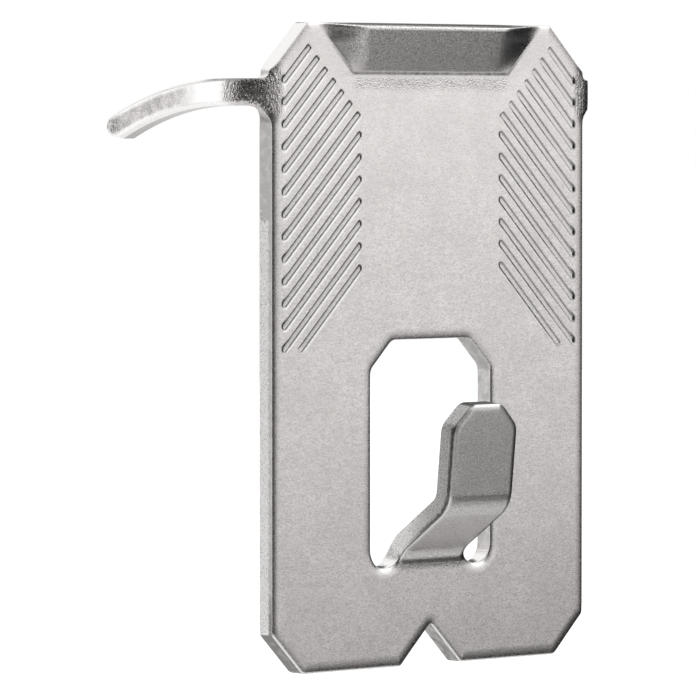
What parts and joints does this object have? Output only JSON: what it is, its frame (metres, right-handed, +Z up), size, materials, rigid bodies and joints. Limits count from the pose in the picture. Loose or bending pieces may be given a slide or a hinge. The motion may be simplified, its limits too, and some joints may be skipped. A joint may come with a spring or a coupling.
{
  "type": "drywall picture hanger",
  "caption": "Stamped steel picture hanger: flat plate with side prongs that curve down into drywall, grip grooves, a leaning top lip and an upturned hook bent from a window.",
  "frame": {"origin": "on the wall face and its centre line, level with the middle of the prong roots", "axes": "+X to the right seen from the front, +Y into the wall, +Z up"},
  "size_m": [0.0362, 0.0225, 0.0481],
  "materials": {
    "plated_steel": "satin plated steel with a fine tumbled grain and rougher skin on the bends"
  },
  "bodies": {
    "root": {"back_plate": "plated_steel", "top_lip": "plated_steel", "picture_hook": "plated_steel", "left_prong": "plated_steel", "right_prong": "plated_steel"}
  },
  "joints": []
}
